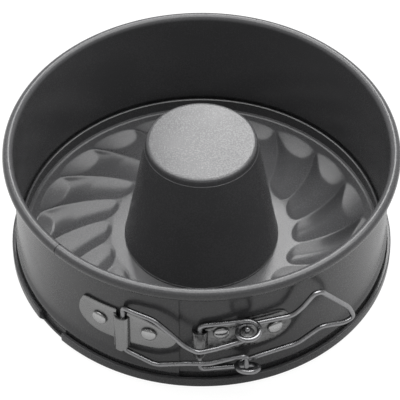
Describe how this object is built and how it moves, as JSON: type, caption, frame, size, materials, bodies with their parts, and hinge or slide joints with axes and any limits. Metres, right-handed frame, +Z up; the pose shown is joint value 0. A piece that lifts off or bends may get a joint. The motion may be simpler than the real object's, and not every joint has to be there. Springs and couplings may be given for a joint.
{
  "type": "springform tube pan",
  "caption": "Small round springform cake pan with a swirled fluted base, a conical centre tube, a rolled-rim split hoop and a wire over-centre latch.",
  "frame": {"origin": "in the middle of the footprint of pan and latch, in the plane of the flat ring that the base rests on; the pan's axis stands 3.5 mm behind it", "axes": "+Z up, parallel to the pan's axis, -Y towards the latch at the front, +X to the right seen from the latch side"},
  "size_m": [0.1692, 0.1762, 0.0605],
  "materials": {
    "pan_coating": "satin dark grey non-stick coating",
    "plate_steel": "matt grey pressed steel",
    "rivet_steel": "satin steel",
    "wire_steel": "bright drawn wire"
  },
  "bodies": {
    "base": {"base_plate": "pan_coating", "base_rim": "pan_coating", "tube": "pan_coating"},
    "hoop": {"hoop": "pan_coating", "hinge_plate": "plate_steel", "hinge_rivet_1": "rivet_steel", "hinge_rivet_2": "rivet_steel"},
    "free_end": {"hoop_free_end": "pan_coating", "catch_plate": "plate_steel", "catch_rivet_1": "rivet_steel", "catch_rivet_2": "rivet_steel"},
    "link": {"link_bail": "wire_steel"},
    "lever": {"latch_lever": "wire_steel"}
  },
  "joints": [
    {"name": "hoop_lift", "type": "slide", "parent": "base", "child": "hoop", "axis": [0, 0, 1], "range_m": [0, 0.075]},
    {"name": "lever_swing", "type": "hinge", "parent": "hoop", "child": "lever", "pos_m": [-0.00072, -0.0786, 0.0281], "axis": [0, 0, -1], "range_deg": [0, 155]},
    {"name": "hoop_open", "type": "hinge", "parent": "hoop", "child": "free_end", "pos_m": [0, 0.0035, 0.03], "axis": [0, 0, -1], "range_deg": [0, 23.5]},
    {"name": "link_swing", "type": "hinge", "parent": "free_end", "child": "link", "pos_m": [-0.03287, -0.07282, 0.0281], "axis": [0, 0, -1], "range_deg": [0, 5]}
  ],
  "couplings": [
    {"joint": "hoop_open", "follows": "lever_swing", "ratio": 0.15104},
    {"joint": "link_swing", "follows": "lever_swing", "ratio": 0.032091}
  ]
}
